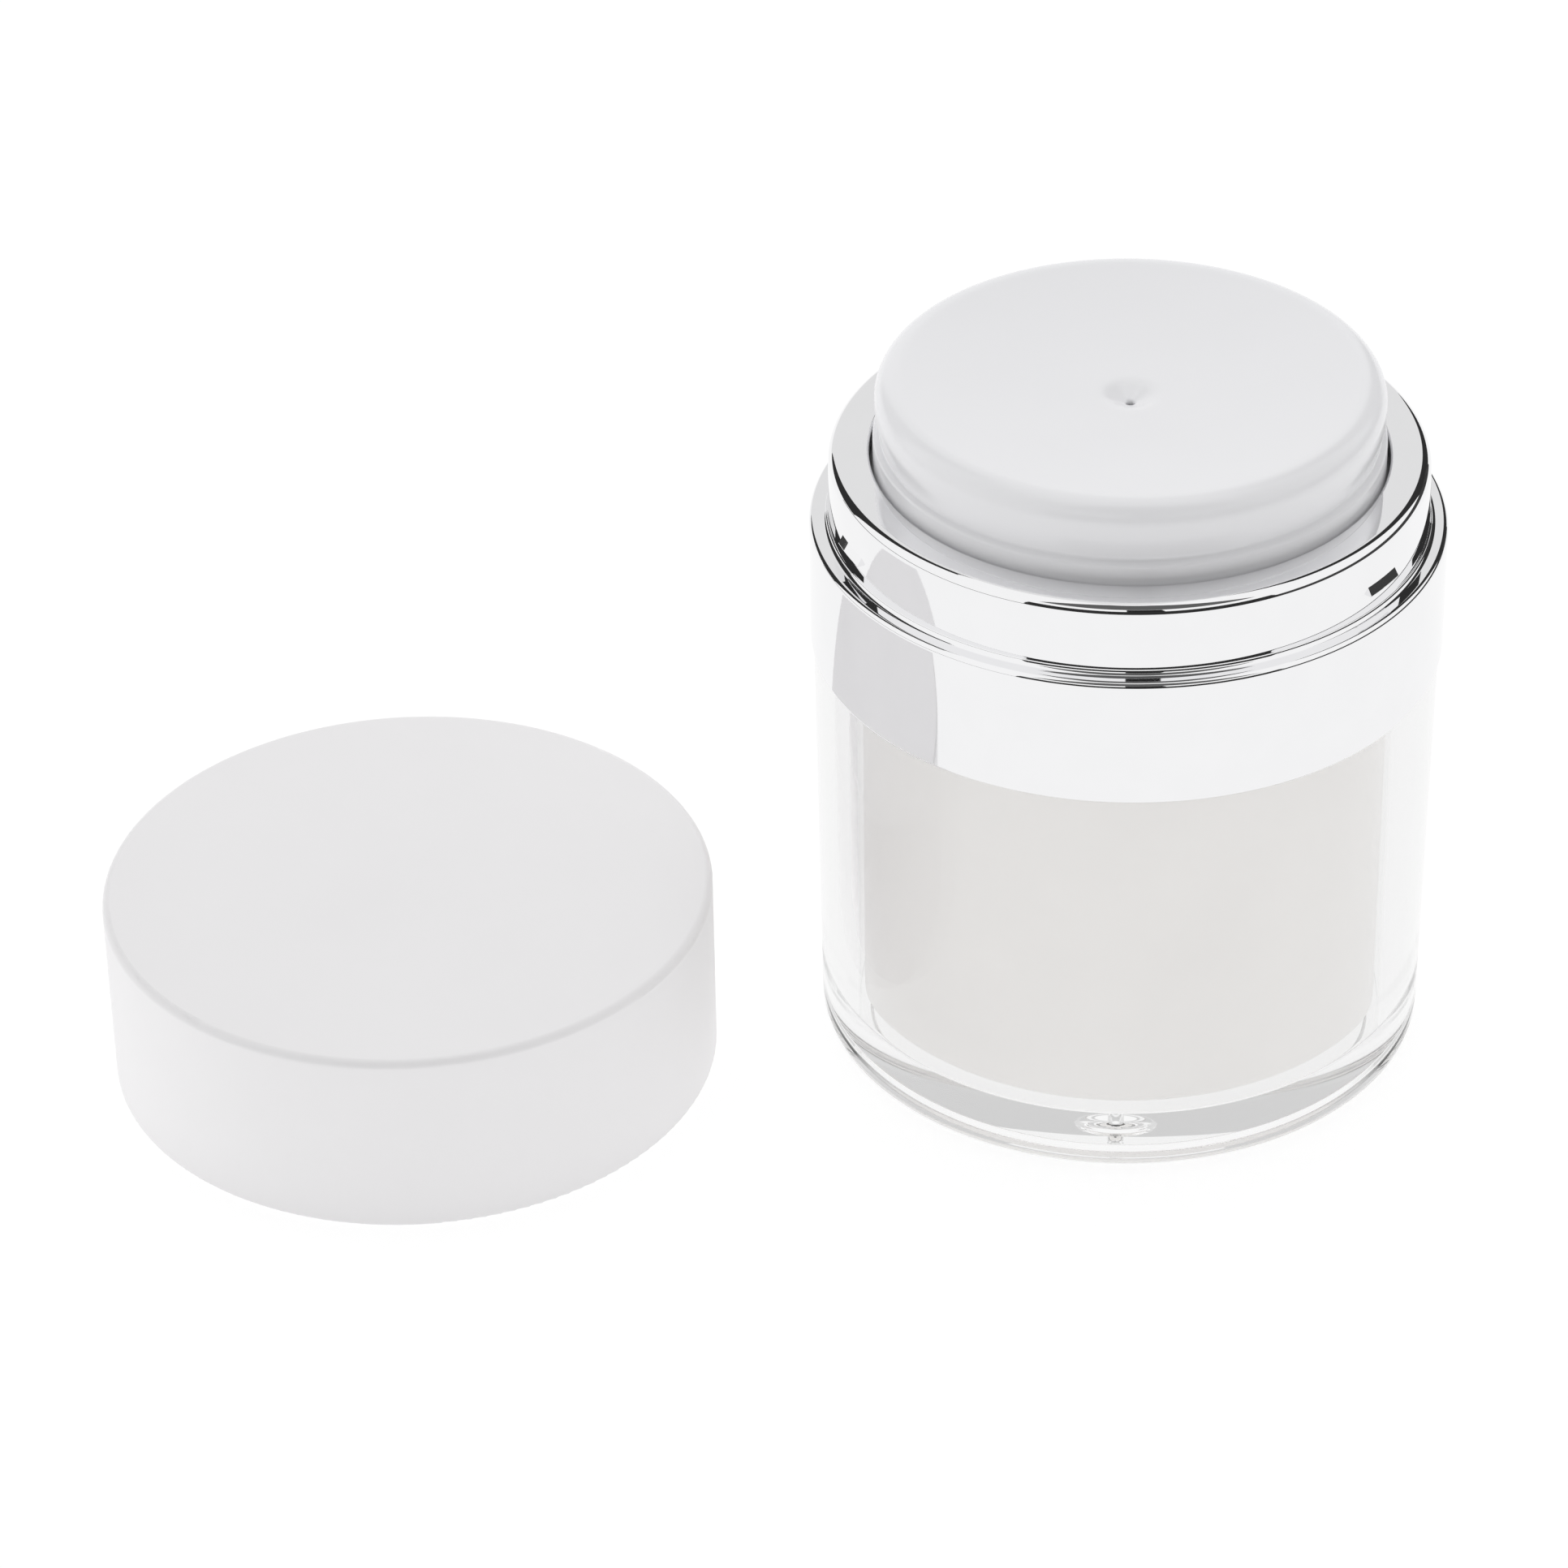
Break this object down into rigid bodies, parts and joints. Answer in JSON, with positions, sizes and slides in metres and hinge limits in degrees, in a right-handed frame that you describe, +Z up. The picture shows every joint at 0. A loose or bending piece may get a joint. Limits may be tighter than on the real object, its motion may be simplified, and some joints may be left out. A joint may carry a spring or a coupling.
{
  "type": "airless pump jar",
  "caption": "Short clear-walled airless pump jar with a white inner cup, chrome collar, white press plate over a spring pump, and its round white cap standing beside it.",
  "frame": {"origin": "centre of the jar's flat underside", "axes": "+Z up along the jar's axis; -X from the jar towards the loose cap; -Y towards the viewer"},
  "size_m": [0.136, 0.0632, 0.0741],
  "materials": {
    "clear_acrylic": "polished",
    "white_polypropylene": "satin",
    "press_plate_white": "satin",
    "cap_white": "satin",
    "natural_polypropylene": "satin",
    "soft_polyethylene": "matte",
    "chrome_plating": "polished",
    "stainless_steel": "satin",
    "sealing_rubber": "matte"
  },
  "bodies": {
    "jar_body": {"outer_jar": "clear_acrylic", "inner_cup": "white_polypropylene"},
    "pump_unit": {"deck_gasket": "sealing_rubber", "pump_deck": "white_polypropylene", "cylinder_gasket": "sealing_rubber", "pump_cylinder": "natural_polypropylene", "ball_cage": "natural_polypropylene", "stem_guide": "natural_polypropylene", "return_spring": "stainless_steel"},
    "collar_unit": {"collar": "chrome_plating", "thread_ring": "natural_polypropylene"},
    "press_head": {"press_plate": "press_plate_white", "pump_stem": "natural_polypropylene", "pump_piston": "soft_polyethylene", "piston_retainer": "natural_polypropylene"},
    "inlet_valve": {"inlet_ball": "stainless_steel"},
    "outlet_valve": {"outlet_ball": "stainless_steel"},
    "follower": {"follower_piston": "soft_polyethylene"},
    "loose_cap": {"cap": "cap_white"}
  },
  "joints": [
    {"name": "pump_lift", "type": "slide", "parent": "jar_body", "child": "pump_unit", "axis": [0, 0, 1], "range_m": [0, 0.006]},
    {"name": "collar_turn", "type": "hinge", "parent": "pump_unit", "child": "collar_unit", "pos_m": [0, 0, 0.055], "axis": [0, 0, 1], "range_deg": [0, 720]},
    {"name": "head_press", "type": "slide", "parent": "pump_unit", "child": "press_head", "axis": [0, 0, -1], "range_m": [0, 0.0055], "stiffness_N_per_m": 1500, "springref_m": -0.004, "deforming": ["return_spring"]},
    {"name": "inlet_ball_lift", "type": "slide", "parent": "pump_unit", "child": "inlet_valve", "axis": [0, 0, 1], "range_m": [0, 0.001]},
    {"name": "outlet_ball_lift", "type": "slide", "parent": "press_head", "child": "outlet_valve", "axis": [0, 0, 1], "range_m": [0, 0.0008]},
    {"name": "follower_rise", "type": "slide", "parent": "jar_body", "child": "follower", "axis": [0, 0, 1], "range_m": [0, 0.026]},
    {"name": "cap_lift", "type": "slide", "parent": "jar_body", "child": "loose_cap", "axis": [0, 0, 1], "range_m": [0, 0.085]}
  ],
  "couplings": [
    {"joint": "pump_lift", "follows": "collar_turn", "m_per_rad": 0.00047746}
  ]
}
